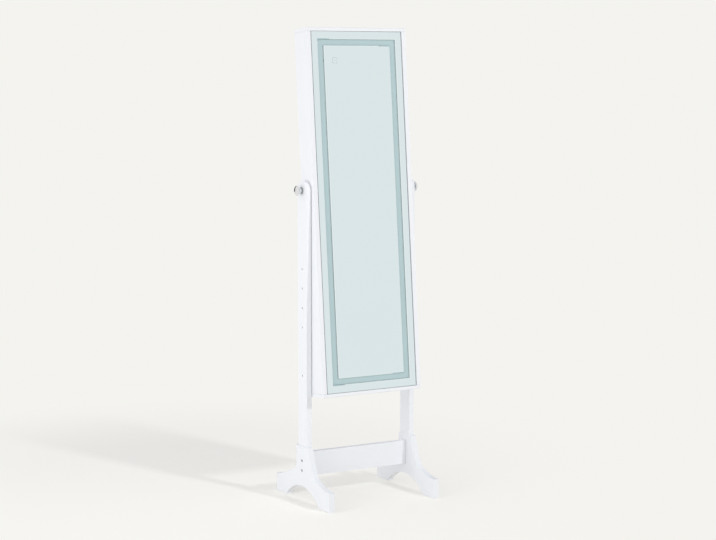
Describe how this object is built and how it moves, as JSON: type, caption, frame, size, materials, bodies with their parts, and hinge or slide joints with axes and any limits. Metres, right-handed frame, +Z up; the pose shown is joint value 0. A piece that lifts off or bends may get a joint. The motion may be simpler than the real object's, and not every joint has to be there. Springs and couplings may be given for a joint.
{
  "type": "jewelry mirror cabinet",
  "caption": "Full-length tilting mirror cabinet on an arched-foot stand; clamp knobs hold its tilt and a mirror door with a lit band opens on shelves and hooks.",
  "frame": {"origin": "on the floor, midway between the posts, under the tilt axis", "axes": "+Z up, -Y towards the person facing the mirror, +X to that person's right"},
  "size_m": [0.4564, 0.376, 1.5541],
  "materials": {
    "white_lacquer": "satin lacquered board",
    "mirror_glass": "silvered float glass",
    "frosted_acrylic": "frosted diffuser",
    "chrome": "polished",
    "zinc_steel": "zinc plated",
    "brass": "turned",
    "nylon": "natural",
    "velvet": "short pile",
    "beech": "bare",
    "white_plastic": "moulded",
    "black_plastic": "moulded",
    "lamp_board": "flexible lamp strip"
  },
  "bodies": {
    "stand": {"left_foot": "white_lacquer", "left_post": "white_lacquer", "left_post_tenon": "beech", "left_pivot_bush": "brass", "right_foot": "white_lacquer", "right_post": "white_lacquer", "right_post_tenon": "beech", "right_pivot_bush": "brass", "stretcher": "white_lacquer", "left_stretcher_screw_1": "zinc_steel", "left_stretcher_screw_2": "zinc_steel", "right_stretcher_screw_1": "zinc_steel", "right_stretcher_screw_2": "zinc_steel"},
    "cabinet": {"left_side_panel": "white_lacquer", "left_threaded_insert": "brass", "left_pivot_washer": "nylon", "right_side_panel": "white_lacquer", "right_threaded_insert": "brass", "right_pivot_washer": "nylon", "top_panel": "white_lacquer", "bottom_panel": "white_lacquer", "upper_hinge_socket": "brass", "lower_hinge_socket": "brass", "back_panel": "white_lacquer", "back_lining": "velvet", "shelf_1": "white_lacquer", "guard_rail_1": "chrome", "shelf_2": "white_lacquer", "guard_rail_2": "chrome", "shelf_3": "white_lacquer", "guard_rail_3": "chrome", "bracelet_rod": "velvet", "necklace_rail": "white_lacquer", "necklace_hooks": "chrome", "earring_panel": "white_lacquer", "ring_tray": "white_lacquer", "ring_cushion": "velvet", "magnet_catch_1": "white_plastic", "magnet_catch_2": "white_plastic"},
    "door": {"door_board": "white_lacquer", "mirror_border": "mirror_glass", "mirror_centre": "mirror_glass", "light_band": "frosted_acrylic", "lamp_strip": "lamp_board", "touch_switch": "black_plastic", "lamp_lead": "black_plastic", "battery_box": "white_plastic", "battery_lid": "white_plastic", "upper_hinge_pin": "zinc_steel", "lower_hinge_pin": "zinc_steel", "strike_plate_1": "zinc_steel", "strike_plate_2": "zinc_steel", "door_lining": "velvet", "door_hooks": "chrome"},
    "left_knob": {"left_knob": "chrome", "left_knob_stud": "zinc_steel", "left_knob_washer": "zinc_steel"},
    "right_knob": {"right_knob": "chrome", "right_knob_stud": "zinc_steel", "right_knob_washer": "zinc_steel"}
  },
  "joints": [
    {"name": "cabinet_tilt", "type": "hinge", "parent": "stand", "child": "cabinet", "pos_m": [0, 0, 1.028], "axis": [1, 0, 0], "range_deg": [-14.7, 10.3]},
    {"name": "door_hinge", "type": "hinge", "parent": "cabinet", "child": "door", "pos_m": [-0.155, -0.03734, 1.03146], "axis": [0, 0.0924, 0.9957], "range_deg": [-110, 0]},
    {"name": "left_knob_turn", "type": "hinge", "parent": "stand", "child": "left_knob", "pos_m": [-0.2, 0, 1.028], "axis": [-1, 0, 0], "continuous": true},
    {"name": "right_knob_turn", "type": "hinge", "parent": "stand", "child": "right_knob", "pos_m": [0.2, 0, 1.028], "axis": [1, 0, 0], "continuous": true}
  ]
}
